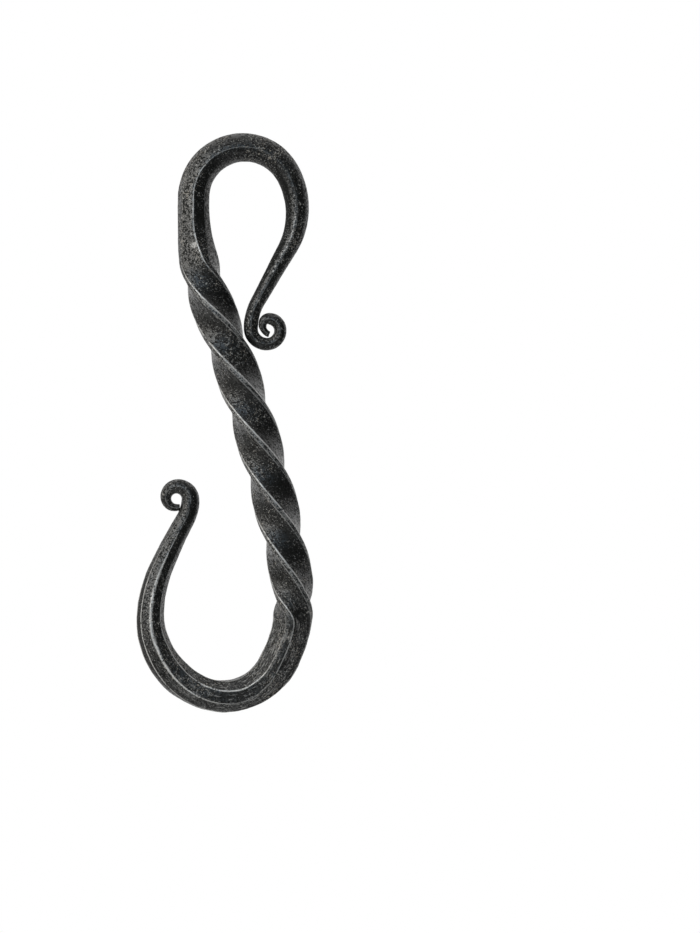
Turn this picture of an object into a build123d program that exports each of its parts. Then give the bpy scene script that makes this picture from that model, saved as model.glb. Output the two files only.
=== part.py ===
"""Kettle hook, an S hook forged from one length of square bar.

The upper hook is a teardrop loop whose drawn-out tail comes back to rest against the shank and
ends in a small scroll.  The shank is left square and twisted.  The lower hook is a deep open bowl
that rises to a second scroll.  Along both hooks the bar's corners are knocked off, so its section
goes from an octagon, through a square with worn corners along the twist, to an octagon again.

Frame: the hook hangs in the XZ plane and its front faces -Y.  The origin is the point that the
hook hangs from, at the top of the upper loop's inside.  Millimetres, +Z up.

A station is a distance along the bar's centreline from the crown: minus towards the tail's
scroll, plus down the shank towards the lower scroll.  Bends are in degrees, plus anticlockwise
as seen from the front.
"""
import os
from itertools import accumulate
from math import copysign, hypot, radians
from typing import NamedTuple

from build123d import *

os.makedirs("parts", exist_ok=True)

# Thickness across the bar's flats
BAR = 11.6                  # what forging leaves of 12 mm bar, along the twist
CROWN_THICK = 9.0           # where the upper hook hangs
LEG_THICK = 9.8             # from the crown down to the twist
SHOULDER_THICK = 11.2       # where the twist starts
BOWL_THICK = 11.0           # from the foot of the twist into the bowl
FLOOR_THICK = 10.4          # at the bowl's lowest stretch
RISE_THICK = 8.4            # where the bowl has turned upright again
LIP_THICK = 5.9             # where it starts to bend into the lower scroll
LOWER_SCROLL_THICK = 5.7    # where the lower scroll starts
LOWER_CURL_THICK = 4.6      # over the top of the lower scroll
LOWER_INNER_THICK = 3.4     # down its far side
TAIL_THICK = 7.3            # half way round the tail's bend
TAIL_RUN_THICK = 6.1        # where the tail straightens
TAIL_NECK_THICK = 4.5       # where it comes down on the shank
TAIL_CURL_THICK = 3.9       # round the tail's scroll
CURL_END_THICK = 2.4        # both scrolls, just before the bar's end
TIP_THICK = 1.8             # both scrolls, at the bar's end

# Taken off each corner of the section, as a share of half its thickness
SQUARE_KNOCK = 0.20         # along the twist
FOOT_KNOCK = 0.37           # from its foot to the bowl
OCTAGON_KNOCK = 0.59        # along the hooks

# Turning of the section about the centreline, in degrees
LEG_SET = 22.5              # before the twist
EVEN_TWIST = 460.5          # along the even part of the twist
SHARP_TWIST = 52.0          # at its foot, where the wrench held the bar
BOWL_ROLL = 14.0            # left in the bowl's floor
BOWL_DRIFT = -34.5          # worked back out of it by the rise
TWIST_START = 48.5          # station
TWIST_RUN_OUT = 5.6         # how far the even twist runs on past the shank
SHARP_RUN = 8.0             # length of the sharp part

# How gently a change along the bar is taken up
FADE = 9.0                  # from octagon to square above the twist
SIZE_EASE = 2.0
FORM_EASE = 4.0

# Centreline: bend radii, bends and lengths
CROWN_RADIUS = 16.7
CROWN_LEG_BEND = 87.1
CROWN_TAIL_BEND = -61.0
TAIL_RADIUS = 25.7
TAIL_RUN = 20.6
LEG_RADIUS = 86.3
LEG_BEND = 24.6
SHANK_LENGTH = 95.5
SHANK_BEND = -11.0
ENTRY_RADIUS = 42.3
ENTRY_BEND = -40.4
BOWL_RADIUS = 20.6
BOWL_BEND = -85.5
RISE_RADIUS = 27.2
RISE_BEND = -71.1
LIP_RADIUS = 46.5
LIP_BEND = -17.4
LIP_RUN = 17.6
LIP_RUN_BEND = -5.6

# Scrolls: the neck bends back, then each quarter is tighter than the one before
TAIL_NECK_RADIUS = 18.0
TAIL_SCROLL_RADIUS = 5.3
TAIL_END_RADIUS = 3.4
TAIL_END_BEND = 70.0
LOWER_NECK_RADIUS = 13.5
LOWER_SCROLL_RADIUS = 4.4
SCROLL_TIGHTEN = 0.86

# Hairlines left where the bar comes back to itself
REST_GAP = 0.2              # between the tail and the shank
CURL_GAP = 0.2              # between a scroll's end and its own neck

# Spacing of the sections along the bar
HOOK_STEP = 4.0
TWIST_STEP = 2.6
SCROLL_STEP = 1.5


class Run(NamedTuple):
    """A stretch of the centreline: a bend of radius size, or a straight of length size."""

    size: float
    bend: float = 0

    @property
    def length(self):
        return abs(radians(self.bend)) * self.size if self.bend else self.size


def gentle(length, bend):
    """A nearly straight run, given by its length."""
    return Run(length / abs(radians(bend)), bend)


def corner_reach(thick):
    """From the centreline out to an octagon's corner."""
    return hypot(thick, thick * (1 - OCTAGON_KNOCK)) / 2


def lay(runs, heading):
    """Chain the runs from the crown's apex, each tangent to the one before."""
    start = Vector(0, 0, corner_reach(CROWN_THICK))
    with BuildLine(Plane.XZ) as line:
        for run in runs:
            if run.bend:
                edge = JernArc(start, heading, run.size, run.bend)
            else:
                edge = Line(start, start + heading * run.size)
            start = edge @ 1
            heading = edge % 1
    return line.wire()


def between(rows, station):
    """Value at a station, straight between the rows of a (station, value) list."""
    if station <= rows[0][0]:
        return rows[0][1]
    for (low, first), (high, last) in zip(rows, rows[1:]):
        if station <= high:
            return first + (last - first) * (station - low) / (high - low)
    return rows[-1][1]


def eased(rows, station, ease):
    """The same, rounded off over a length of ease each side of every row."""
    return sum(between(rows, station + ease * step / 2) for step in (-2, -1, 0, 1, 2)) / 5


# The foot: from the crown down the shank and round the bowl to the lower scroll
lower_quarters = [LOWER_SCROLL_RADIUS * SCROLL_TIGHTEN**quarter for quarter in range(3)]
lower_drop = lower_quarters[1] + lower_quarters[2] - lower_quarters[0]
neck_lean = lower_drop**2 / (2 * LOWER_NECK_RADIUS)
lower_tip_run = (
    lower_quarters[0] + lower_quarters[1] - lower_quarters[2]
    - neck_lean - corner_reach(LOWER_SCROLL_THICK) - CURL_GAP
)
bowl_bends = (CROWN_LEG_BEND, LEG_BEND, SHANK_BEND, ENTRY_BEND, BOWL_BEND, RISE_BEND)
lower_neck_bend = -90 - sum(bowl_bends) - LIP_BEND - LIP_RUN_BEND
foot_runs = [
    Run(CROWN_RADIUS, CROWN_LEG_BEND),
    Run(LEG_RADIUS, LEG_BEND),
    gentle(SHANK_LENGTH, SHANK_BEND),
    Run(ENTRY_RADIUS, ENTRY_BEND),
    Run(BOWL_RADIUS, BOWL_BEND),
    Run(RISE_RADIUS, RISE_BEND),
    Run(LIP_RADIUS, LIP_BEND),
    gentle(LIP_RUN, LIP_RUN_BEND),
    Run(LOWER_NECK_RADIUS, lower_neck_bend),
    *(Run(radius, 90) for radius in lower_quarters),
    Run(lower_tip_run),
]
foot = lay(foot_runs, Vector(-1, 0, 0))
(
    crown_end, leg_end, shank_end, entry_end, bowl_end, rise_end, lip_end,
    lower_neck, lower_scroll, lower_top, lower_far, lower_under, foot_end,
) = accumulate(run.length for run in foot_runs)
even_end = shank_end + TWIST_RUN_OUT
sharp_end = even_end + SHARP_RUN
floor = (entry_end + bowl_end) / 2

# Form of the bar along the foot, as rows of station and value
thickness = [
    (0, CROWN_THICK),
    (crown_end, LEG_THICK),
    (TWIST_START - 2 * FADE, LEG_THICK),
    (TWIST_START, SHOULDER_THICK),
    (TWIST_START + 5 * FADE, BAR),
    (shank_end - 2 * FADE, BAR),
    (even_end, BOWL_THICK),
    (entry_end, BOWL_THICK),
    (floor, FLOOR_THICK),
    (bowl_end + FADE, FLOOR_THICK),
    (rise_end, RISE_THICK),
    (lower_neck, LIP_THICK),
    (lower_scroll, LOWER_SCROLL_THICK),
    (lower_top, LOWER_CURL_THICK),
    (lower_far, LOWER_INNER_THICK),
    (lower_under, CURL_END_THICK),
    (foot_end, TIP_THICK),
]
set_turn = LEG_SET + EVEN_TWIST + SHARP_TWIST
turning = [
    (TWIST_START, LEG_SET),
    (even_end, LEG_SET + EVEN_TWIST),
    (sharp_end, set_turn),
    (entry_end, set_turn),
    (floor, set_turn + BOWL_ROLL),
    (bowl_end + 2 * FADE, set_turn + BOWL_ROLL + BOWL_DRIFT),
]
knocking = [
    (TWIST_START - FADE, OCTAGON_KNOCK),
    (TWIST_START, SQUARE_KNOCK),
    (even_end, SQUARE_KNOCK),
    (sharp_end, FOOT_KNOCK),
    (entry_end, FOOT_KNOCK),
    (floor, OCTAGON_KNOCK),
]


def corners(station):
    """The section's eight corners, in order round it."""
    half = eased(thickness, station, SIZE_EASE) / 2
    end = half * (1 - eased(knocking, station, FORM_EASE))
    flat = Vector(half, -end), Vector(half, end)
    return [corner.rotate(Axis.Z, turn) for turn in (0, 90, 180, 270) for corner in flat]


def section_turn(station):
    """Turn of the section's flats from the hook's front, with a corner facing it at none."""
    return 45 - eased(turning, station, SIZE_EASE)


def half_width(station):
    """Half the bar's width as seen from the front."""
    turn = section_turn(station)
    return max(corner.rotate(Axis.Z, turn).Y for corner in corners(station))


def spaced(first, last, step):
    """Stations from first to just short of last, evenly spaced by at most about step."""
    count = max(1, round((last - first) / step))
    return [first + (last - first) * index / count for index in range(count)]


# The tail: from the crown round the loop to its scroll.  Its bend is the one that brings its
# neck to rest against the shank.
tail_quarters = [TAIL_SCROLL_RADIUS * SCROLL_TIGHTEN**quarter for quarter in range(3)]
tail_last_quarter = (
    tail_quarters[0] + tail_quarters[1] - tail_quarters[2]
    - corner_reach(TAIL_NECK_THICK + CURL_END_THICK) - CURL_GAP
)


def tail_runs(bend):
    return [
        Run(CROWN_RADIUS, CROWN_TAIL_BEND),
        Run(TAIL_RADIUS, bend),
        Run(TAIL_RUN),
        Run(TAIL_NECK_RADIUS, -90 - CROWN_TAIL_BEND - bend),
        *(Run(radius, 90) for radius in tail_quarters),
        Run(tail_last_quarter, 90),
        Run(TAIL_END_RADIUS, TAIL_END_BEND),
    ]


def point_on(wire, distance):
    return wire.position_at(distance, position_mode=PositionMode.LENGTH)


shank_side = [
    (point_on(foot, station), half_width(station))
    for station in spaced(crown_end, shank_end, TWIST_STEP / 2)
]


def gap_to_shank(bend):
    """Least gap between the shank and the neck of a tail with this bend."""
    runs = tail_runs(bend)
    line = lay(runs[:5], Vector(1, 0, 0))
    near = sum(run.length for run in runs[:2])
    far = sum(run.length for run in runs[:5])
    neck_points = [point_on(line, distance) for distance in spaced(near, far, SCROLL_STEP)]
    return min(
        (neck_point - shank_point).length - shank_half - corner_reach(TAIL_NECK_THICK)
        for neck_point in neck_points
        for shank_point, shank_half in shank_side
    )


def resting_bend():
    """Bend of the tail that leaves the resting gap, found by halving."""
    open_bend, closed_bend = 0.0, -90.0
    while open_bend - closed_bend > 0.01:
        bend = (open_bend + closed_bend) / 2
        if gap_to_shank(bend) > REST_GAP:
            open_bend = bend
        else:
            closed_bend = bend
    return open_bend


runs = tail_runs(resting_bend())
tail = lay(runs, Vector(1, 0, 0))
(
    loop_top, tail_bend_end, tail_neck, tail_scroll,
    tail_under, tail_far, tail_top, tail_inner, tail_end,
) = accumulate(run.length for run in runs)
thickness[:0] = [
    (-tail_end, TIP_THICK),
    (-tail_inner, CURL_END_THICK),
    (-tail_top, TAIL_CURL_THICK),
    (-tail_under, TAIL_CURL_THICK),
    (-tail_scroll, TAIL_NECK_THICK),
    (-tail_neck, TAIL_NECK_THICK),
    (-tail_bend_end, TAIL_RUN_THICK),
    (-(loop_top + tail_bend_end) / 2, TAIL_THICK),
]


def section_plane(station):
    """Plane across the bar, with its axes square to the section's flats."""
    wire = foot if station >= 0 else tail
    along = wire.tangent_at(abs(station), position_mode=PositionMode.LENGTH)
    along *= copysign(1, station)
    across = Vector(0, -1, 0).rotate(Axis((0, 0, 0), along), section_turn(station))
    return Plane(point_on(wire, abs(station)), x_dir=across, z_dir=along)


stations = [
    *spaced(-tail_end, -tail_neck, SCROLL_STEP),
    *spaced(-tail_neck, TWIST_START - FADE, HOOK_STEP),
    *spaced(TWIST_START - FADE, sharp_end + FADE, TWIST_STEP),
    *spaced(sharp_end + FADE, lower_neck, HOOK_STEP),
    *spaced(lower_neck, foot_end, SCROLL_STEP),
    foot_end,
]

with BuildPart() as kettle_hook:
    for station in stations:
        with BuildSketch(section_plane(station)):
            with BuildLine():
                Polyline(*corners(station), close=True)
            make_face()
    loft()

kettle_hook.part.label = "kettle_hook"
export_step(kettle_hook.part, "parts/kettle_hook.step")
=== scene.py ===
"""Looks of a hand-forged kettle hook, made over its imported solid.

The skin is forged the way the solid is: a straight length of square stock has its corners knocked off, is
hammered, twisted and bent along the same centreline, and keeps the finer marks that this work leaves.

The hook hangs in the XZ plane with its front facing -Y.  Lengths are in millimetres until a mesh, lamp or
camera is made, and angles are in degrees.  A station is a distance along the bar's centreline from the
crown of the upper loop: minus towards the tail's scroll, plus down the shank towards the lower scroll.
"""

import logging
import math
from dataclasses import dataclass, field
from enum import Enum
from itertools import accumulate
from typing import Any, Sequence, Union

import bmesh
import bpy
from mathutils import Matrix, Vector, noise


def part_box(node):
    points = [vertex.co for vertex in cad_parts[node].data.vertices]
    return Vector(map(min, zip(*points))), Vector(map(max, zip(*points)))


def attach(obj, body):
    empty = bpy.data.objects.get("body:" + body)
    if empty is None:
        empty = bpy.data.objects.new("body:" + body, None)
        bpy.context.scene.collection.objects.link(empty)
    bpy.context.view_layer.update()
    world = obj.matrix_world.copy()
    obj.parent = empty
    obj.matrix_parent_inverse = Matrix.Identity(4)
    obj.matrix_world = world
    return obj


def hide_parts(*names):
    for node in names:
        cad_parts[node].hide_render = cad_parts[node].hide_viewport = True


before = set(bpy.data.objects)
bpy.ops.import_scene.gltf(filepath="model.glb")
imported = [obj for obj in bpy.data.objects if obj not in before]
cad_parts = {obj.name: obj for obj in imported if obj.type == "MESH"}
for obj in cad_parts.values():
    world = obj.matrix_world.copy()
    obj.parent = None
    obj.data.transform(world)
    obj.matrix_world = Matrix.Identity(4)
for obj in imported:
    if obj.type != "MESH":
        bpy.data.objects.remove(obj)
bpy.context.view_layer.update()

log = logging.getLogger("kettle_hook")

MM = 0.001
NODE = "kettle_hook"
BODY = "root"

STOCK_LAYER = "stock"    # a point's place in the straight bar, before it was twisted and bent
EDGE_LAYER = "edge"      # its distance from the nearest forged edge: plus on a flat, minus on a corner
FINISH_LAYER = "finish"  # how rubbed, dusty, scratched and faceted the skin is there
STAIN_AND_PAINTED_LIGHT_LAYER = "stain_and_painted_light"    # how burnt the skin is there, or how polished where it is minus; some patches are painted shade and painted highlights

EASE_STEPS = (-1.0, -0.5, 0.0, 0.5, 1.0)
WELD = 1e-7  # points of the seam that are closer than this, in metres, become one

Rows = Sequence[tuple[float, float]]
Pair = tuple[float, float]
Colour = tuple[float, float, float]


def put(name: str, data: bpy.types.ID) -> bpy.types.Object:
    """Put a new object in the scene.

    Args:
        name: its name.
        data: its mesh, lamp or camera.

    Returns:
        The object, unturned at the origin.
    """
    made = bpy.data.objects.new(name, data)
    bpy.context.scene.collection.objects.link(made)
    return made


# ---- the bar


@dataclass(frozen=True)
class Run:
    """A stretch of the centreline: a bend of radius size, or a straight of length size."""

    size: float
    bend: float = 0.0

    @property
    def length(self) -> float:
        """Length along the run."""
        return abs(math.radians(self.bend)) * self.size if self.bend else self.size

    def go(self, heading: float, distance: float) -> tuple[float, float, float]:
        """Travel along the run.

        Args:
            heading: direction at its start, in radians from +X towards +Z.
            distance: how far along it.

        Returns:
            The steps made along X and Z, and the new heading.
        """
        if not self.bend:
            return distance * math.cos(heading), distance * math.sin(heading), heading
        radius = math.copysign(self.size, self.bend)
        turned = heading + distance / radius
        step_x = radius * (math.sin(turned) - math.sin(heading))
        step_z = radius * (math.cos(heading) - math.cos(turned))
        return step_x, step_z, turned


def gentle(length: float, bend: float) -> Run:
    """A nearly straight run, given by its length."""
    return Run(length / abs(math.radians(bend)), bend)


class Wire:
    """A chain of runs, each tangent to the one before.

    Attributes:
        legs: for each run the length before it, the run, its start and its direction there in radians.
        length: length of the whole chain.
    """

    def __init__(self, runs: Sequence[Run], start: Vector, heading: float) -> None:
        """Lay the runs.

        Args:
            runs: the runs in order.
            start: where the first one starts.
            heading: its direction there, in degrees from +X towards +Z.
        """
        self.legs = []
        place, course, gone = start.copy(), math.radians(heading), 0.0
        for run in runs:
            self.legs.append((gone, run, place.copy(), course))
            step_x, step_z, course = run.go(course, run.length)
            place += Vector((step_x, 0.0, step_z))
            gone += run.length
        self.length = gone

    def at(self, distance: float) -> tuple[Vector, Vector]:
        """Find a place on the wire.

        Args:
            distance: how far along the wire it is.

        Returns:
            The point, and the direction of the wire there.
        """
        gone, run, place, course = next(
            leg for leg in reversed(self.legs) if leg[0] <= distance or leg is self.legs[0]
        )
        step_x, step_z, heading = run.go(course, distance - gone)
        along = Vector((math.cos(heading), 0.0, math.sin(heading)))
        return place + Vector((step_x, 0.0, step_z)), along


def between(rows: Rows, station: float) -> float:
    """Read a value off a table.

    Args:
        rows: stations in order, each with its value.
        station: where the value is wanted.

    Returns:
        The value, straight between two rows and level beyond the first and the last.
    """
    if station <= rows[0][0]:
        return rows[0][1]
    for (low, first), (high, last) in zip(rows, rows[1:]):
        if station <= high:
            return first + (last - first) * (station - low) / (high - low)
    return rows[-1][1]


def eased(rows: Rows, station: float, ease: float) -> float:
    """Read a value off a table, rounded off over a length of ease each side of every row."""
    return sum(between(rows, station + ease * step) for step in EASE_STEPS) / len(EASE_STEPS)


def bearing_off(facing: float, bearing: float) -> float:
    """How far a facing is from a bearing, in degrees up to half a turn either way."""
    return (facing - bearing + 180) % 360 - 180


def hump(value: float, middle: float, spread: float) -> float:
    """A smooth hump: one in the middle, and nearly nothing two spreads away."""
    return math.exp(-(((value - middle) / spread) ** 2))


@dataclass(frozen=True)
class Mark:
    """A mark on the bar.

    Attributes:
        station: where its middle is along the bar.
        bearing: which way it faces, in degrees from the front towards the outline's left.
        long: its spread along the bar.
        wide: its spread round the bar, which a stain has in degrees.
    """

    station: float
    bearing: float
    long: float
    wide: float


@dataclass(frozen=True)
class Nick(Mark):
    """A dent if it is deep, a burr if its depth is minus.

    Attributes:
        deep: how deep it is.
    """

    deep: float

    def depth(self, station: float, facing: float, half: float) -> float:
        """Find how deep the mark is at a place.

        Args:
            station: how far along the bar the place is.
            facing: which way it faces, in degrees.
            half: half the bar's width there.

        Returns:
            The depth there, which is nothing three spreads away.
        """
        across = math.radians(bearing_off(facing, self.bearing)) * half
        if abs(station - self.station) >= 3 * self.long or abs(across) >= 3 * self.wide:
            return 0.0
        return self.deep * hump(station, self.station, self.long) * hump(across, 0, self.wide)


@dataclass(frozen=True)
class StainAndPaintedLight(Mark):
    """A patch of skin burnt dull, or polished if its strength is minus; some are painted shade and
    highlights.

    Attributes:
        strength: how dull it is, where one is burnt through.
    """

    strength: float = 1.0

    def at(self, station: float, facing: float) -> float:
        """Its strength at a place."""
        off = bearing_off(facing, self.bearing)
        return self.strength * hump(station, self.station, self.long) * hump(off, 0, self.wide)


@dataclass(frozen=True)
class Hammering:
    """What the hammer and the fire leave in the bar's skin.

    Attributes:
        quiet: middle and spread of the twist, which is worked least.
        least: how heavily it is worked there, beside one along the hooks.
        heavy: middle and spread of the bowl's start, which is worked most.
        extra: how much more it is worked there.
        blows: length, depth and seed of the broad dents and of the small ones.
        apart: keeps the dents of one side from matching those of the next.
        sink: how far every side is sunk besides.
        slim: half width under which the dents get shallower with the bar.
        scale: size, share, spacing, octaves and depth of the scale's grain.
        pit: size of a pit, the noise above which it sinks, and its depth.
        pit_seed: where the pits' noise is read, so that they don't follow the scale's grain.
        creases: middle and spread of the stretch that is creased along the bar.
        crease_depth, crease_count: how deep they are, and how many there are round the bar.
        sway: how far they wander, in radians, and over what length.
        crease_patch: how long a crease is, and how far round it shows, in degrees.
        sway_seed, patch_seed: seeds of how creases wander and where they show.
        faint: strength under which creases are left out.
    """

    quiet: Pair = (110.0, 48.0)
    least: float = 0.35
    heavy: Pair = (190.0, 16.0)
    extra: float = 0.6
    blows: tuple[tuple[float, float, float], ...] = ((6.5, 0.16, 1.3), (2.6, 0.07, 5.1))
    apart: float = 9.7
    sink: float = 0.03
    slim: float = 4.0
    scale: tuple[float, float, float, int, float] = (1.6, 0.9, 2.1, 3, 0.035)
    pit: tuple[float, float, float] = (0.9, 0.35, 0.12)
    pit_seed: tuple[float, float, float] = (7.0, 3.0, 1.0)
    creases: Pair = (188.0, 15.0)
    crease_depth: float = 0.11
    crease_count: float = 13.0
    sway: Pair = (2.2, 9.0)
    crease_patch: Pair = (5.0, 40.0)
    sway_seed: float = 3.0
    patch_seed: float = 8.0
    faint: float = 0.02

    def load(self, station: float) -> float:
        """How heavily the bar is hammered at a station."""
        hooks = 1 - hump(station, *self.quiet)
        return self.least + (1 - self.least) * hooks + self.extra * hump(station, *self.heavy)

    def dent(self, station: float, side: int, half: float) -> float:
        """Find how far the hammer has moved a side of the bar.

        Args:
            station: how far along the bar.
            side: number of the side, round the bar.
            half: half the bar's width there.

        Returns:
            The move outwards, or inwards if it is minus.
        """
        dent = sum(noise.noise(Vector((station / length, side * self.apart, seed))) * depth
                   for length, depth, seed in self.blows)
        return (dent - self.sink) * self.load(station) * min(1.0, half / self.slim)

    def lift(self, point: Vector, station: float, facing: float) -> float:
        """Find how far scale, pits and creases lift the skin.

        Args:
            point: the point of the finished hook.
            station: how far along the bar it is.
            facing: which way it faces, in degrees.

        Returns:
            The lift, or how far the skin is sunk if it is minus.
        """
        load = self.load(station)
        size, share, spacing, octaves, depth = self.scale
        fine = noise.fractal(point / size, share, spacing, octaves, noise_basis="PERLIN_ORIGINAL") * depth
        size, sinks_above, depth = self.pit
        pit = noise.noise(point / size + Vector(self.pit_seed))
        lift = fine * load - max(0.0, pit - sinks_above) * depth * load
        creases = hump(station, *self.creases)
        if creases > self.faint:
            wander, length = self.sway
            wander *= noise.noise(Vector((station / length, 0, self.sway_seed)))
            wave = math.sin(math.radians(facing) * self.crease_count + wander)
            length, width = self.crease_patch
            patch = 0.5 + noise.noise(Vector((station / length, facing / width, self.patch_seed)))
            lift += self.crease_depth * creases * wave * patch
        return lift


@dataclass(frozen=True)
class Scroll:
    """A drawn-out end, curled in quarters that each tighten.

    Attributes:
        neck_radius: radius of the neck, which bends away from the curl.
        radius: radius of the first quarter.
        ending: the runs after the quarters.
        tighten: each quarter's radius as a share of the one before.
        quarters: how many of them there are.
    """

    neck_radius: float
    radius: float
    ending: tuple[Run, ...]
    tighten: float = 0.86
    quarters: int = 3

    def runs(self, neck_bend: float) -> list[Run]:
        """Runs of the scroll, from the start of its neck to the bar's end."""
        curl = [Run(self.radius * self.tighten**quarter, 90) for quarter in range(self.quarters)]
        return [Run(self.neck_radius, neck_bend), *curl, *self.ending]


@dataclass(frozen=True)
class Section:
    """The bar's section at one station: a square whose corners are knocked off.

    Attributes:
        half: half its width across two flats.
        knock: how much of it the knocked corners take.
        turn: its turn, in degrees.
    """

    half: float
    knock: float
    turn: float

    @property
    def end(self) -> float:
        """Half the length of a flat."""
        return self.half * (1 - self.knock)

    @property
    def corner_bearing(self) -> float:
        """Bearing of a flat's end, from the middle of the flat."""
        return math.atan2(self.end, self.half)

    @property
    def sides(self) -> tuple[float, float]:
        """Lengths of a flat and of a knocked corner."""
        return 2 * self.end, (self.half - self.end) * math.sqrt(2)

    @property
    def reaches(self) -> tuple[float, float]:
        """Distances from the centreline to a flat and to a knocked corner."""
        return self.half, (self.half + self.end) / math.sqrt(2)


@dataclass
class ForgedBar:
    """The hook's one bar, with every size that shapes it.

    Bends are in degrees, plus to the left as one goes away from the crown. A table has a row for each
    station where its value is set.

    Attributes:
        crown_reach: from the point that the hook hangs on up to the centreline.
        crown_radius to lower_scroll: the runs of the centreline, from the crown outwards.
        crown_thick to tip_thick: the bar's thickness at each place that it is named after.
        twist_start: station where the even twist starts.
        fade: length over which the octagon fades into the square above it.
        twist_run_out: how far the even twist runs on past the shank.
        sharp_run: length of the sharp twist at its foot.
        leg_set to bowl_drift: what the bar is turned before the twist, along it, at its foot, by the bowl's
            floor and by the rise.
        square_knock to octagon_knock: how much of the section the knocked corners take along the twist, at
            its foot and along the hooks.
        size_ease, form_ease: how far its size and its form are rounded off along the bar.
        flat_cuts, corner_cuts: faces across a flat and across a knocked corner.
        ring_step: distance along the bar between two rings of points.
        round_swell: how much the planes stand out to make up for rounded corners.
        crispness, edge_wear: how sharp the corners are, and how far the rubbed line reaches from an edge.
        dust, scratches: how much dust has settled, and how scratched the skin is along the bar.
        facets: how much the knocked corners are rubbed.
        leading: share of the rubbing on the edge where a flat starts, going round towards the outline's
            left. The edge where it ends has the rest.
        lean: how much more dust lies on what faces the outline's left.
        faint_edge: how much either edge is rubbed at least.
        spared: how much less the edges that face left are rubbed along the twist.
        stains_and_painted_light, nicks, hammering: the bar's marks; some stains are painted shade and
        highlights.
        foot, tail: the centreline down from the crown, and round the tail.
        thickness, turning, knocking: the bar's form along the centreline.
    """

    crown_reach: float = 4.8635
    crown_radius: float = 16.7
    crown_leg_bend: float = 87.1
    crown_tail_bend: float = -61.0
    tail_radius: float = 25.7
    tail_bend: float = -58.0408
    tail_run: float = 20.6
    leg: Run = Run(86.3, 24.6)
    shank: Run = gentle(95.5, -11.0)
    entry: Run = Run(42.3, -40.4)
    bowl: Run = Run(20.6, -85.5)
    rise: Run = Run(27.2, -71.1)
    lip: Run = Run(46.5, -17.4)
    lip_run: Run = gentle(17.6, -5.6)
    tail_scroll: Scroll = Scroll(18.0, 5.3, (Run(2.0094, 90), Run(3.4, 70)))
    lower_scroll: Scroll = Scroll(13.5, 4.4, (Run(1.3917),))

    crown_thick: float = 9.0
    leg_thick: float = 9.8
    shoulder_thick: float = 11.2
    shank_thick: float = 11.6
    bowl_thick: float = 11.0
    floor_thick: float = 10.4
    rise_thick: float = 8.4
    lip_thick: float = 5.9
    lower_scroll_thick: float = 5.7
    lower_curl_thick: float = 4.6
    lower_inner_thick: float = 3.4
    tail_thick: float = 7.3
    tail_run_thick: float = 6.1
    tail_neck_thick: float = 4.5
    tail_curl_thick: float = 3.9
    curl_end_thick: float = 2.4
    tip_thick: float = 1.8

    twist_start: float = 48.5
    fade: float = 9.0
    twist_run_out: float = 5.6
    sharp_run: float = 8.0
    leg_set: float = 22.5
    even_twist: float = 460.5
    sharp_twist: float = 52.0
    bowl_roll: float = 14.0
    bowl_drift: float = -34.5
    square_knock: float = 0.2
    foot_knock: float = 0.37
    octagon_knock: float = 0.59
    size_ease: float = 2.0
    form_ease: float = 4.0

    flat_cuts: int = 16
    corner_cuts: int = 9
    ring_step: float = 0.42
    round_swell: float = 0.62
    crispness: Rows = (
        (-80, 9), (-30, 10), (8, 12), (24, 24), (40, 34), (52, 90), (166, 90),
        (176, 60), (215, 50), (250, 50), (270, 20), (290, 9),
    )
    edge_wear: Rows = (
        (-60, 0.15), (-10, 0.1), (12, 0.3), (20, 0.8), (44, 0.9), (54, 1.2), (166, 1.2),
        (174, 0.9), (206, 1.1), (225, 1.5), (243, 2.5), (258, 2.2), (268, 1), (282, 0.2),
    )
    dust: Rows = (
        (-90, 0.35), (-60, 0.35), (-15, 0.6), (5, 0.55), (26, 0.45), (48, 0.3), (60, 0.12),
        (160, 0.15), (172, 0.7), (200, 0.6), (212, 0.28), (235, 0.3), (262, 0.3), (285, 0.4),
    )
    scratches: Rows = ((162, 0), (174, 1), (205, 1), (225, 0.3), (245, 0.1))
    facets: Rows = ((48, 0), (56, 1), (164, 1), (174, 0))
    leading: Rows = (
        (46, 1), (56, 0), (174, 0.15), (184, 0.3), (196, 0.8), (206, 0.8), (225, 0.3),
        (243, 0.1),
    )
    lean: Rows = (
        (-95, 0.1), (-70, 0.5), (-20, 0.5), (10, 0.4), (48, 0.4), (56, 0), (166, 0),
        (178, -0.5), (200, -0.42), (212, 0.45), (240, 0.4), (262, 0.3), (280, 0),
    )
    faint_edge: float = 0.28
    spared: float = 0.4
    stains_and_painted_light: tuple[StainAndPaintedLight, ...] = (
        # Painted shade: the first four, on the upper loop's inside and in the crown's crease.
        StainAndPaintedLight(-44, -62, 22, 40, 1.3), StainAndPaintedLight(-5, -31, 14, 5, 0.6),
        StainAndPaintedLight(-21, -60, 8, 30, 0.8), StainAndPaintedLight(30, -62, 22, 30, 0.5),
        # Painted highlights: the patches polished at -40, 28 and 26, where the lamps' highlights fall.
        StainAndPaintedLight(42.2, 4, 1.1, 13, -1.1), StainAndPaintedLight(-40, -10, 17, 10, -0.9),
        StainAndPaintedLight(28, 10, 15, 10, -0.35), StainAndPaintedLight(192, -38, 13, 20, -0.38),
        StainAndPaintedLight(189, 42, 14, 22, 0.35), StainAndPaintedLight(207, 0, 14, 18, 0.55),
        StainAndPaintedLight(26, 48, 20, 14, -0.22), StainAndPaintedLight(250, -9, 9, 9, -0.35),
        StainAndPaintedLight(245, -60, 30, 28, 0.9),
    )
    nicks: tuple[Nick, ...] = (Nick(-5, -31, 9, 0.5, 0.35),)
    hammering: Hammering = Hammering()

    foot: Wire = field(init=False)
    tail: Wire = field(init=False)
    thickness: Rows = field(init=False)
    turning: Rows = field(init=False)
    knocking: Rows = field(init=False)

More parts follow.
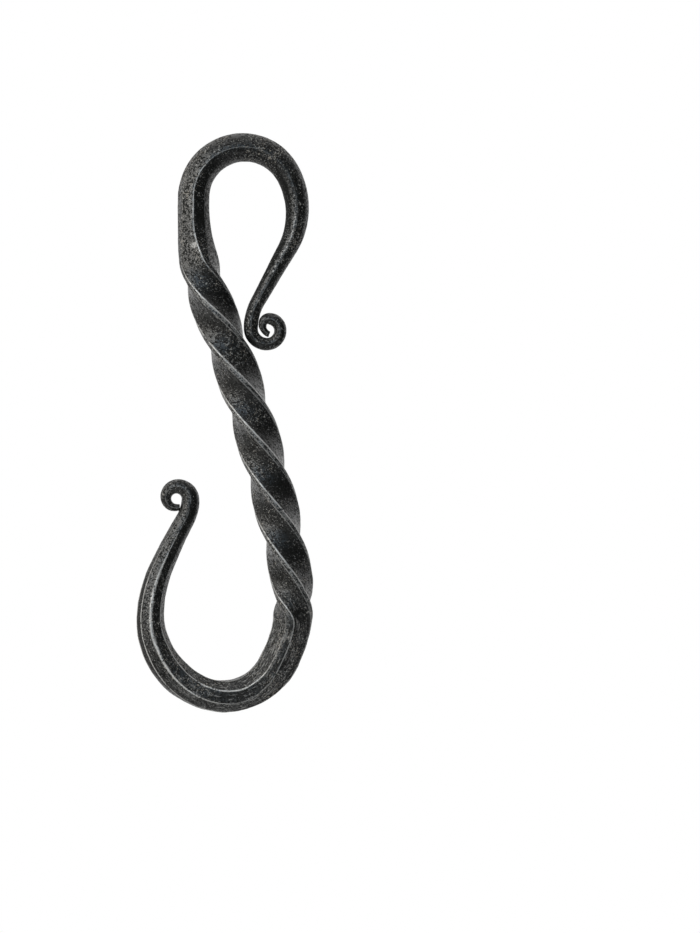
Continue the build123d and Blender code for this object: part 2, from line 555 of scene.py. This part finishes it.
    def __post_init__(self) -> None:
        """Lay the centreline and tabulate the bar's form along it."""
        start = Vector((0.0, 0.0, self.crown_reach))
        bends = [Run(self.crown_radius, self.crown_leg_bend), self.leg, self.shank, self.entry, self.bowl,
                 self.rise, self.lip, self.lip_run]
        lower = self.lower_scroll.runs(-90 - sum(run.bend for run in bends))
        self.foot = Wire([*bends, *lower], start, 180)
        loop = [Run(self.crown_radius, self.crown_tail_bend), Run(self.tail_radius, self.tail_bend),
                Run(self.tail_run)]
        curl = self.tail_scroll.runs(-90 - self.crown_tail_bend - self.tail_bend)
        self.tail = Wire([*loop, *curl], start, 0)
        self._tabulate([*bends, *lower], [*loop, *curl])

    def _tabulate(self, foot_runs: Sequence[Run], tail_runs: Sequence[Run]) -> None:
        """Fill in the tables of thickness, turning and knocking.

        Args:
            foot_runs: the runs from the crown to the lower scroll's end.
            tail_runs: the runs from the crown to the tail's end.
        """
        (crown_end, _, shank_end, entry_end, bowl_end, rise_end, _, lower_neck, lower_curl, lower_top,
         lower_far, lower_under, foot_end) = accumulate(run.length for run in foot_runs)
        (loop_top, bend_end, neck, curl, under, _, top, inner, tail_end) = accumulate(
            run.length for run in tail_runs)
        even_end = shank_end + self.twist_run_out
        sharp_end = even_end + self.sharp_run
        floor = (entry_end + bowl_end) / 2
        self.thickness = [
            (-tail_end, self.tip_thick), (-inner, self.curl_end_thick), (-top, self.tail_curl_thick),
            (-under, self.tail_curl_thick), (-curl, self.tail_neck_thick), (-neck, self.tail_neck_thick),
            (-bend_end, self.tail_run_thick), (-(loop_top + bend_end) / 2, self.tail_thick),
            (0, self.crown_thick), (crown_end, self.leg_thick),
            (self.twist_start - 2 * self.fade, self.leg_thick), (self.twist_start, self.shoulder_thick),
            (self.twist_start + 5 * self.fade, self.shank_thick),
            (shank_end - 2 * self.fade, self.shank_thick), (even_end, self.bowl_thick),
            (entry_end, self.bowl_thick), (floor, self.floor_thick),
            (bowl_end + self.fade, self.floor_thick), (rise_end, self.rise_thick),
            (lower_neck, self.lip_thick), (lower_curl, self.lower_scroll_thick),
            (lower_top, self.lower_curl_thick), (lower_far, self.lower_inner_thick),
            (lower_under, self.curl_end_thick), (foot_end, self.tip_thick),
        ]
        set_turn = self.leg_set + self.even_twist + self.sharp_twist
        self.turning = [
            (self.twist_start, self.leg_set), (even_end, self.leg_set + self.even_twist),
            (sharp_end, set_turn), (entry_end, set_turn), (floor, set_turn + self.bowl_roll),
            (bowl_end + 2 * self.fade, set_turn + self.bowl_roll + self.bowl_drift),
        ]
        self.knocking = [
            (self.twist_start - self.fade, self.octagon_knock), (self.twist_start, self.square_knock),
            (even_end, self.square_knock), (sharp_end, self.foot_knock), (entry_end, self.foot_knock),
            (floor, self.octagon_knock),
        ]

    def section(self, station: float) -> Section:
        """Find the bar's section before it is hammered.

        Args:
            station: how far along the bar.

        Returns:
            The section there.
        """
        return Section(
            half=eased(self.thickness, station, self.size_ease) / 2,
            knock=eased(self.knocking, station, self.form_ease),
            turn=45 - eased(self.turning, station, self.size_ease),
        )

    def place(self, station: float, reach: float, bearing: float, turn: float) -> Vector:
        """Where a point of the straight bar goes when the bar is twisted and bent.

        Args:
            station: how far along the bar it is.
            reach: its distance from the centreline.
            bearing: its bearing round the section, in radians.
            turn: the section's turn, in degrees.

        Returns:
            The point in the hook's frame.
        """
        wire = self.foot if station >= 0 else self.tail
        centre, along = wire.at(abs(station))
        if station < 0:
            along = -along
        front = Vector((0.0, -1.0, 0.0))
        aside = along.cross(front)
        angle = bearing + math.radians(turn)
        return centre + (front * math.cos(angle) + aside * math.sin(angle)) * reach

    def outline(self, station: float) -> list[tuple[float, float, float, float]]:
        """The hammered section as points round it.

        Args:
            station: how far along the bar it is.

        Returns:
            For each point its distance from the centreline, its bearing in radians, its signed distance
            from the nearest edge and how much that edge stands proud.
        """
        section = self.section(station)
        crisp = eased(self.crispness, station, self.form_ease)
        flat, corner = (reach * (1 + self.round_swell / crisp) for reach in section.reaches)
        planes = []
        for side in range(8):
            reach = (corner if side % 2 else flat) + self.hammering.dent(station, side, section.half)
            planes.append((math.radians(45 * side), reach))
        flat_side, corner_side = section.sides
        leading = between(self.leading, station)
        starting, ending = (
            self.faint_edge + (1 - self.faint_edge) * share for share in (leading, 1 - leading))
        bearings = []
        spread = section.corner_bearing
        spare = math.radians(90) - 2 * spread
        for quarter in range(4):
            middle = math.radians(90 * quarter)
            for cut in range(self.flat_cuts):
                share = cut / self.flat_cuts
                proud = starting if share < 0.5 else ending
                edge = flat_side * min(share, 1 - share)
                bearings.append((middle + spread * (2 * share - 1), edge, proud))
            for cut in range(self.corner_cuts):
                share = cut / self.corner_cuts
                proud = starting if share > 0.5 else ending
                edge = -corner_side * min(share, 1 - share)
                bearings.append((middle + spread + spare * share, edge, proud))
        # A sum of powers rounds the corners between the planes, the less the crisper they are.
        points = []
        for bearing, edge, proud in bearings:
            pull = sum(max(0.0, math.cos(bearing - way) / reach) ** crisp for way, reach in planes)
            points.append((pull ** (-1 / crisp), bearing, edge, proud))
        return points

    def dressing(self, station: float) -> list[float]:
        """The rubbing, dust, scratches, facets and lean at a station."""
        tables = self.edge_wear, self.dust, self.scratches, self.facets, self.lean
        return [eased(rows, station, self.form_ease) for rows in tables]

    def forge(self, name: str) -> bpy.types.Object:
        """Make the bar's mesh.

        Args:
            name: name of the finished piece.

        Returns:
            The piece, unturned at the origin.
        """
        first, last = -self.tail.length, self.foot.length
        rings = round((last - first) / self.ring_step)
        around = 4 * (self.flat_cuts + self.corner_cuts)
        sheet = bmesh.new()
        bmesh.ops.create_grid(sheet, x_segments=around, y_segments=rings, size=0.5)
        stock = sheet.verts.layers.float_vector.new(STOCK_LAYER)
        edge_layer = sheet.verts.layers.float.new(EDGE_LAYER)
        finish = sheet.verts.layers.float_color.new(FINISH_LAYER)
        stain_and_painted_light = sheet.verts.layers.float.new(STAIN_AND_PAINTED_LIGHT_LAYER)
        rows: dict[int, tuple] = {}
        for vert in sheet.verts:
            ring = round((vert.co.y + 0.5) * rings)
            if ring not in rows:
                station = first + (last - first) * ring / rings
                rows[ring] = station, self.section(station), self.outline(station), self.dressing(station)
            station, section, points, (wear, dust, scratched, faceted, lean) = rows[ring]
            reach, bearing, edge, proud = points[round((vert.co.x + 0.5) * around) % around]
            facing = math.degrees(bearing) + section.turn
            placed = self.place(station, reach, bearing, section.turn)
            lift = self.hammering.lift(placed, station, facing)
            for nick in self.nicks:
                lift -= nick.depth(station, facing, section.half)
            leftward = math.sin(math.radians(facing))
            rubbed = wear * proud * (1 - self.spared * faceted * max(0.0, leftward))
            vert[stock] = Vector((reach * math.cos(bearing), reach * math.sin(bearing), station)) * MM
            vert[edge_layer] = edge
            vert[finish] = (rubbed, dust + lean * leftward, scratched, faceted)
            # Painted shade and painted highlights ride on this layer with the burnt and polished patches.
            vert[stain_and_painted_light] = sum(patch.at(station, facing) for patch in self.stains_and_painted_light)
            vert.co = self.place(station, reach + lift, bearing, section.turn) * MM
        self._close(sheet)
        mesh = bpy.data.meshes.new(name)
        sheet.to_mesh(mesh)
        sheet.free()
        return put(name, mesh)

    @staticmethod
    def _close(sheet: bmesh.types.BMesh) -> None:
        """Weld the rolled sheet along its seam, close both ends and point its faces outwards.

        Args:
            sheet: the sheet, rolled round the bar.
        """
        seam = [vert for vert in sheet.verts if vert.is_boundary]
        bmesh.ops.remove_doubles(sheet, verts=seam, dist=WELD)
        rims = [edge for edge in sheet.edges if edge.is_boundary]
        caps = bmesh.ops.holes_fill(sheet, edges=rims, sides=0)["faces"]
        bmesh.ops.poke(sheet, faces=caps)
        bmesh.ops.recalc_face_normals(sheet, faces=sheet.faces)
        for face in sheet.faces:
            face.smooth = True


# ---- finishes


Socket = bpy.types.NodeSocket
Number = Union[float, "Signal"]


class Signal:
    """A number that varies over a surface.  Using it in an expression adds the Math nodes."""

    def __init__(self, graph: "Graph", socket: Socket) -> None:
        """Wrap a socket of a graph."""
        self.graph = graph
        self.socket = socket

    def _math(self, operation: str, *values: Number) -> "Signal":
        """A Math node of these values."""
        return self.graph.add("Math", {"operation": operation}, dict(enumerate(values)))

    def __add__(self, other: Number) -> "Signal":
        """Sum."""
        return self._math("ADD", self, other)

    __radd__ = __add__

    def __sub__(self, other: Number) -> "Signal":
        """Difference."""
        return self._math("SUBTRACT", self, other)

    def __rsub__(self, other: Number) -> "Signal":
        """Difference, from a number."""
        return self._math("SUBTRACT", other, self)

    def __mul__(self, other: Number) -> "Signal":
        """Product."""
        return self._math("MULTIPLY", self, other)

    __rmul__ = __mul__

    def __truediv__(self, other: Number) -> "Signal":
        """Quotient."""
        return self._math("DIVIDE", self, other)

    def __abs__(self) -> "Signal":
        """Size without sign."""
        return self._math("ABSOLUTE", self)

    def least(self, other: Number) -> "Signal":
        """The lesser of two."""
        return self._math("MINIMUM", self, other)

    def most(self, other: Number) -> "Signal":
        """The greater of two."""
        return self._math("MAXIMUM", self, other)

    def ramp(self, low: float, high: float) -> "Signal":
        """Spread a band of values over the span from nothing to one.

        Args:
            low, high: the values that become nothing and one.

        Returns:
            The spread value, smooth between the two.
        """
        return self.graph.add("MapRange", {"interpolation_type": "SMOOTHSTEP"},
                              {"Value": self, "From Min": low, "From Max": high})


@dataclass(frozen=True)
class Grain:
    """The size and texture of a noise.

    Attributes:
        lumps: how many lumps there are to a millimetre.
        detail: how many finer noises are laid over it.
        roughness: how strong each of them is beside the one before.
    """

    lumps: float
    detail: float = 2.0
    roughness: float = 0.5


class Graph:
    """The node tree of one material, or of the room."""

    def __init__(self, owner: Union[bpy.types.Material, bpy.types.World]) -> None:
        """Clear the owner's tree and keep it."""
        owner.use_nodes = True
        self.tree = owner.node_tree
        self.tree.nodes.clear()

    def node(self, kind: str, settings: dict[str, Any], inputs: dict[Any, Any]) -> bpy.types.Node:
        """Add a node.

        Args:
            kind: its type, without ShaderNode.
            settings: its properties, set before its sockets.
            inputs: values or links of its sockets, by name or number.

        Returns:
            The node.
        """
        made = self.tree.nodes.new("ShaderNode" + kind)
        for key, value in settings.items():
            setattr(made, key, value)
        for key, value in inputs.items():
            if isinstance(value, Signal):
                value = value.socket
            if isinstance(value, Socket):
                self.tree.links.new(value, made.inputs[key])
            else:
                made.inputs[key].default_value = value
        return made

    def add(self, kind: str, settings: dict[str, Any], inputs: dict[Any, Any], output: Any = 0) -> Signal:
        """Add a node and wrap one of its outputs."""
        return Signal(self, self.node(kind, settings, inputs).outputs[output])

    def grain(self, where: Socket, grain: Grain) -> Signal:
        """Add a noise.

        Args:
            where: the place that it is read at, in metres.
            grain: its size and texture.

        Returns:
            Its value, about a half on average.
        """
        return self.add("TexNoise", {"noise_dimensions": "3D"}, {
            "Vector": where, "Scale": grain.lumps / MM, "Detail": grain.detail, "Roughness": grain.roughness})

    def blend(self, share: Number, first: Any, second: Any) -> Socket:
        """Mix two colours.

        Args:
            share: share of the second.
            first, second: colours, or sockets that give one.

        Returns:
            The socket of the mixed colour.
        """
        values = [colour if isinstance(colour, Socket) else (*colour, 1.0) for colour in (first, second)]
        return self.node("Mix", {"data_type": "RGBA"}, {0: share, 6: values[0], 7: values[1]}).outputs[2]


class Skin:
    """What the steel's finish is mixed from: the layers of the forged mesh, and the grains of the skin.

    Attributes:
        edge, wear, dusty, scratched, faceted, stain_and_painted_light: the values of the layers.
        broad, cloudy, grit, fine: grains that lie on the finished hook.
        pitted, glint, drawn: grains that were drawn, twisted and bent with the bar.
        patchy: slow changes, about nothing on average.
        rasped: grain of what is rubbed.
    """

    def __init__(self, graph: Graph, steel: "BlackenedSteel") -> None:
        """Read the layers and lay the grains.

        Args:
            graph: the graph of the material.
            steel: the finish, with the grains' sizes.
        """
        place = graph.node("TexCoord", {}, {}).outputs["Object"]
        stock = graph.node("Attribute", {"attribute_name": STOCK_LAYER}, {}).outputs["Vector"]
        self.edge, self.stain_and_painted_light = (graph.add("Attribute", {"attribute_name": layer}, {}, "Fac")
                                 for layer in (EDGE_LAYER, STAIN_AND_PAINTED_LIGHT_LAYER))
        finish = graph.node("Attribute", {"attribute_name": FINISH_LAYER}, {})
        parted = graph.node("SeparateColor", {}, {"Color": finish.outputs["Color"]})
        self.wear, self.dusty, self.scratched = (Signal(graph, socket) for socket in parted.outputs)
        self.faceted = Signal(graph, finish.outputs["Alpha"])

        self.broad, self.cloudy, self.grit, self.fine = (
            graph.grain(place, grain) for grain in (steel.broad, steel.cloudy, steel.grit, steel.fine))
        self.pitted, self.glint = (graph.grain(stock, grain) for grain in (steel.pitted, steel.glint))
        squeezed = graph.node("Mapping", {"vector_type": "POINT"},
                              {"Vector": stock, "Scale": (1.0, 1.0, steel.drawing)})
        self.drawn = graph.grain(squeezed.outputs[0], steel.drawn)
        self.patchy = (self.cloudy - 0.5) * steel.clouds + (self.broad - 0.5) * steel.breadth
        self.rasped = self.drawn * 0.5 + self.grit * 0.5


@dataclass(frozen=True)
class BlackenedSteel:
    """Forge scale, oiled black, rubbed bright where the bar stands proud.

    A band gives the values of a grain between which something starts and is whole.

    Attributes:
        name: name of the material.
        crevice, dust, rust, bare_and_highlight, burnt_and_shaded: colours of scale, of grey and brown dust,
        of metal, which paints highlights too, and of burnt scale, which paints shade too.
        metallic, burnt_and_shaded_metallic: how metallic rubbed metal and burnt scale are, painted highlights
            and
        painted shade with them.
        roughness: roughness of clean scale.
        cloud_rough to burnt_and_shaded_rough: what clouds, dust, rubbing and burning add to it, painted
            highlights
        and painted shade with the last two.
        shine: strength of its shine.
        broad to drawn: the grains.
        drawing: how fast the drawn grain changes along the bar, as a share of how fast it does across it.
        clouds, breadth: what the cloudy and the broad grain add to the patchiness.
        settle_band, rust_band: where dust starts, and where it is brown.
        dust_pull: how much the layer of dust adds to the first of them.
        pit_band, pit_mix, pit_depth: where pits start, what patchiness and dust add to their grain, and how
            burnt they are.
        ragged, burnt_and_shaded_band: what clouds and grit add to the edges of stains and painted shade, and
            where
        the dark starts.
        line_band: how the rubbed line ends across its reach.
        line_least, line_mix: its least reach, in millimetres, and its sure share and the grit's share.
        slow: what patchiness adds to streaks and flecks.
        broken: how much grit and the drawn grain break up polished patches and painted highlights.
        rub_band to polish_and_highlight_band: where each kind of rubbing starts, painted highlights with the
            polish.
        corner_share to polish_and_highlight_share: how bright each kind is, painted highlights with the
        polish.
        relief: height of the grains, in millimetres.
        fine_relief, drawn_relief: shares of it that the fine and the drawn grain have.
    """

    name: str = "blackened_steel"
    crevice: Colour = (0.0054, 0.0055, 0.0046)
    dust: Colour = (0.215, 0.207, 0.184)
    rust: Colour = (0.222, 0.196, 0.162)
    bare_and_highlight: Colour = (0.6, 0.59, 0.57)
    burnt_and_shaded: Colour = (0.010, 0.010, 0.009)
    metallic: float = 0.7
    burnt_and_shaded_metallic: float = 0.8
    roughness: float = 0.25
    cloud_rough: float = 0.1
    dust_rough: float = 0.25
    bare_and_highlight_rough: float = 0.2
    burnt_and_shaded_rough: float = 0.4
    shine: float = 0.56

    broad: Grain = Grain(0.13)
    cloudy: Grain = Grain(0.55, 3.0, 0.6)
    grit: Grain = Grain(2.0, 1.0)
    fine: Grain = Grain(2.6, 2.0, 0.6)
    pitted: Grain = Grain(1.5, 2.0, 0.6)
    glint: Grain = Grain(2.2, 1.0)
    drawn: Grain = Grain(2.0, 3.0, 0.6)
    drawing: float = 0.14
    clouds: float = 0.66
    breadth: float = 0.5

    settle_band: Pair = (0.635, 0.7)
    dust_pull: float = 0.16
    rust_band: Pair = (0.44, 0.6)
    pit_band: Pair = (0.49, 0.56)
    pit_mix: Pair = (0.4, 0.02)
    pit_depth: float = 0.9
    ragged: Pair = (0.9, 0.5)
    burnt_and_shaded_band: Pair = (0.25, 0.75)
    line_band: Pair = (0.05, 0.36)
    line_least: float = 0.6
    line_mix: Pair = (0.4, 0.4)
    slow: float = 0.5
    broken: Pair = (1.6, 1.2)
    rub_band: Pair = (0.36, 0.48)
    corner_band: Pair = (0.0, 0.25)
    corner_rub_band: Pair = (0.44, 0.58)
    corner_share: float = 0.38
    streak_band: Pair = (0.57, 0.64)
    streak_share: float = 0.35
    fleck_band: Pair = (0.62, 0.71)
    fleck_share: float = 0.32
    polish_and_highlight_band: Pair = (0.35, 0.75)
    polish_and_highlight_share: float = 0.6
    relief: float = 0.17
    fine_relief: float = 0.5
    drawn_relief: float = 0.2

    def _settled(self, skin: Skin) -> Signal:
        """How much dust lies on the skin."""
        return (skin.grit + skin.patchy + (skin.dusty - 0.5) * self.dust_pull).ramp(*self.settle_band)

    def _burnt_and_shaded(self, skin: Skin) -> Signal:
        """How burnt the skin is, in stains and in pits, with painted shade among the stains.

        Args:
            skin: the layers and the grains.

        Returns:
            The share of burnt scale and painted shade.
        """
        patches, dust = self.pit_mix
        pits = (skin.pitted + skin.patchy * patches + skin.dusty * dust).ramp(*self.pit_band)
        clouds, grit = self.ragged
        # Dark patches on the upper loop's inside and in the crown's crease are painted shade.
        stains_and_painted_light = skin.stain_and_painted_light + (skin.cloudy - 0.5) * clouds + (skin.grit - 0.5) * grit
        return stains_and_painted_light.ramp(*self.burnt_and_shaded_band).most(pits * self.pit_depth)

    def _worn_and_highlit(self, skin: Skin) -> Signal:
        """How much bare metal shows: on edges, corners, polished patches and painted highlights, and as
        streaks and flecks.

        Args:
            skin: the layers and the grains.

        Returns:
            The share of bare metal, painted highlights included.
        """
        sure, grit = self.line_mix
        reach = skin.wear.most(self.line_least) * (sure + skin.cloudy + skin.grit * grit)
        line = 1 - (abs(skin.edge) / reach).ramp(*self.line_band)
        rubbed = line * skin.rasped.ramp(*self.rub_band) * skin.wear.least(1.0)
        on_corner = (skin.edge * -1).ramp(*self.corner_band)
        corner = on_corner * skin.rasped.ramp(*self.corner_rub_band) * skin.faceted * self.corner_share
        slow = skin.patchy * self.slow
        streaks = (skin.drawn + slow).ramp(*self.streak_band) * skin.scratched * self.streak_share
        flecks = (skin.glint + slow).ramp(*self.fleck_band) * self.fleck_share
        grit, drawn = self.broken
        # Polished patches on the tail's bend and the leg's planes are painted highlights, where the lamps'
        # highlights fall.
        polish_and_highlight = skin.stain_and_painted_light * -1 + (skin.grit - 0.5) * grit + (skin.drawn - 0.5) * drawn
        polished_and_highlight = polish_and_highlight.ramp(*self.polish_and_highlight_band) * self.polish_and_highlight_share
        return rubbed.most(corner).most(flecks).most(streaks).most(polished_and_highlight)

    def material(self) -> bpy.types.Material:
        """Build the material.

        Returns:
            The material, which reads the layers of the mesh that it is on.
        """
        made = bpy.data.materials.new(self.name)
        graph = Graph(made)
        skin = Skin(graph, self)
        settled, burnt_and_shaded, worn_and_highlit = self._settled(skin), self._burnt_and_shaded(skin), self._worn_and_highlit(skin)
        dust = graph.blend(skin.broad.ramp(*self.rust_band), self.dust, self.rust)
        colour = graph.blend(settled, self.crevice, dust)
        # Burnt scale, with painted shade on the upper loop's inside and in the crown's crease.
        colour = graph.blend(burnt_and_shaded, colour, self.burnt_and_shaded)
        # Rubbed metal, with painted highlights on the tail's bend and the leg.
        colour = graph.blend(worn_and_highlit, colour, self.bare_and_highlight)
        rough = self.roughness + self.cloud_rough * skin.cloudy + self.dust_rough * settled
        lines = skin.drawn * (self.drawn_relief + skin.scratched)
        height = skin.fine * self.fine_relief + skin.cloudy + lines
        bump = graph.node("Bump", {},
                          {"Height": height, "Strength": 1.0, "Distance": self.relief * MM})
        shader = graph.node("BsdfPrincipled", {}, {
            "Base Color": colour,
            "Metallic": (worn_and_highlit * self.metallic).most(burnt_and_shaded * self.burnt_and_shaded_metallic),
            "Roughness": rough + self.bare_and_highlight_rough * worn_and_highlit + self.burnt_and_shaded_rough * burnt_and_shaded,
            "Specular IOR Level": self.shine,
            "Normal": bump.outputs[0],
        })
        graph.node("OutputMaterial", {}, {"Surface": shader.outputs[0]})
        return made


@dataclass(frozen=True)
class Matt:
    """A plain matt finish for the studio's own surfaces.

    Attributes:
        name: name of the material.
        colour: its colour.
    """

    name: str
    colour: Colour

    def material(self) -> bpy.types.Material:
        """Build the material.

        Returns:
            The material.
        """
        made = bpy.data.materials.new(self.name)
        graph = Graph(made)
        shader = graph.node("BsdfPrincipled", {},
                            {"Base Color": (*self.colour, 1.0), "Roughness": 1.0})
        graph.node("OutputMaterial", {}, {"Surface": shader.outputs[0]})
        return made


# ---- studio


class Cast(Enum):
    """Colour casts of the studio's lamps."""

    COOL = (0.66, 0.83, 1.0)
    WARM = (1.0, 0.968, 0.912)


@dataclass(frozen=True)
class SoftLamp:
    """A soft rectangular lamp, aimed at a point of the hook.

    Attributes:
        name, place: its name, and where it hangs.
        size: its width and height.
        watts, cast: its power and its colour cast.
    """

    name: str
    place: tuple[float, float, float]
    size: tuple[float, float]
    watts: float
    cast: Cast

    def hang(self, aim: Vector) -> None:
        """Put the lamp in the scene.

        Args:
            aim: the point that it is aimed at, in metres.
        """
        lamp = bpy.data.lights.new(self.name, "AREA")
        lamp.shape = "RECTANGLE"
        lamp.size, lamp.size_y = (side * MM for side in self.size)
        lamp.energy = self.watts
        lamp.color = self.cast.value
        holder = put(self.name, lamp)
        holder.location = Vector(self.place) * MM
        holder.rotation_euler = (aim - holder.location).to_track_quat("-Z", "Y").to_euler()


@dataclass(frozen=True)
class Studio:
    """Floor, curtain, lamps and camera, in a white room.

    Attributes:
        floor_drop, floor_radius: how far the floor is below the hook's lowest point, and how far it reaches.
        curtain_radius, curtain_height: the dark curtain's distance from the hook, and its height.
        curtain_depth: how far it comes round behind the hook.
        segments, floor_finish, curtain_finish: sides and finishes of floor and curtain.
        view_centre, view_height: the point that the camera looks at, and the height of what it sees there.
        camera_gap, sensor: how far away it stands, and the height of its sensor.
        sight: how far it sees, in metres.
        daylight: strength of the room's light on matt surfaces.
        lamps: the lamps.
    """

    floor_drop: float = 300.0
    floor_radius: float = 600.0
    curtain_radius: float = 1350.0
    curtain_height: float = 2400.0
    curtain_depth: float = 100.0
    segments: int = 96
    floor_finish: Matt = Matt("pale_floor", (0.86, 0.86, 0.86))
    curtain_finish: Matt = Matt("dark_cloth", (0.02, 0.02, 0.02))
    view_centre: tuple[float, float, float] = (35.4, 0.0, -101.5)
    view_height: float = 311.0
    camera_gap: float = 2600.0
    sensor: float = 36.0
    sight: float = 50.0
    daylight: float = 0.68
    lamps: tuple[SoftLamp, ...] = (
        SoftLamp("side_box", (-1000.0, -60.0, 240.0), (500.0, 640.0), 3.1, Cast.WARM),
        SoftLamp("left_box", (-670.0, -720.0, 160.0), (330.0, 800.0), 5.6, Cast.WARM),
        SoftLamp("front_box", (-200.0, -900.0, 200.0), (700.0, 520.0), 2.4, Cast.COOL),
    )

    @staticmethod
    def _stand(name: str, mesh: bmesh.types.BMesh, finish: Matt) -> bpy.types.Object:
        """Put one of the studio's own surfaces in the scene.

        Args:
            name: its name.
            mesh: its shape, which is freed.
            finish: its finish.

        Returns:
            The surface.
        """
        made = bpy.data.meshes.new(name)
        mesh.to_mesh(made)
        mesh.free()
        made.materials.append(finish.material())
        piece = put(name, made)
        return piece

    def build(self, lowest: float) -> None:
        """Set the studio up round the hook.

        Args:
            lowest: height of the hook's lowest point, in metres.
        """
        aim = Vector(self.view_centre) * MM
        floor = bmesh.new()
        bmesh.ops.create_circle(floor, cap_ends=True, segments=self.segments, radius=self.floor_radius * MM,
                                matrix=Matrix.Translation((0, 0, lowest - self.floor_drop * MM)))
        self._stand("floor", floor, self.floor_finish)
        curtain = bmesh.new()
        bmesh.ops.create_cone(curtain, cap_ends=False, segments=self.segments,
                              radius1=self.curtain_radius * MM, radius2=self.curtain_radius * MM,
                              depth=self.curtain_height * MM, matrix=Matrix.Translation((0, 0, aim.z)))
        bmesh.ops.bisect_plane(curtain, geom=[*curtain.verts, *curtain.edges, *curtain.faces],
                               plane_co=(0, self.curtain_depth * MM, 0), plane_no=(0, 1, 0), clear_outer=True)
        self._stand("curtain", curtain, self.curtain_finish).visible_camera = False
        for lamp in self.lamps:
            lamp.hang(Vector((0.0, 0.0, aim.z)))
        self._room()
        self._camera(aim)

    def _room(self) -> None:
        """Make the room white to the eye and in reflections, with a soft light of its own."""
        world = bpy.data.worlds.new("white_room")
        bpy.context.scene.world = world
        graph = Graph(world)
        path = graph.node("LightPath", {}, {})
        seen, glossy, through = (
            Signal(graph, path.outputs[f"Is {kind} Ray"]) for kind in ("Camera", "Glossy", "Transmission"))
        white = seen.most(glossy).most(through)
        sky = graph.node("Background", {},
                         {"Color": (1.0, 1.0, 1.0, 1.0), "Strength": white.most(self.daylight)})
        graph.node("OutputWorld", {}, {"Surface": sky.outputs[0]})

    def _camera(self, aim: Vector) -> None:
        """Stand the camera level with the point that it looks at, with a long lens.

        Args:
            aim: that point, in metres.
        """
        camera = bpy.data.cameras.new("camera")
        camera.sensor_fit = "VERTICAL"
        camera.sensor_height = self.sensor
        camera.lens = self.sensor * self.camera_gap / self.view_height
        camera.clip_end = self.sight
        holder = put("camera", camera)
        holder.location = aim + Vector((0.0, -self.camera_gap * MM, 0.0))
        holder.rotation_euler = (math.radians(90), 0.0, 0.0)
        bpy.context.scene.camera = holder


# ---- main


def main() -> None:
    """Forge the hook, dress it, and set up the studio."""
    bpy.context.scene.view_settings.view_transform = "Standard"
    bar = ForgedBar()
    hook = bar.forge("forged_hook")
    hook.data.materials.append(BlackenedSteel().material())
    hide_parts(NODE)
    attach(hook, BODY)
    log.info("%s: %d points", hook.name, len(hook.data.vertices))

    lowest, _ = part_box(NODE)
    studio = Studio()
    studio.build(lowest.z)
    log.info("studio: floor, curtain, camera and %d lamps", len(studio.lamps))


if __name__ == "__main__":
    logging.basicConfig(level=logging.INFO, format="%(name)s %(message)s")
    main()
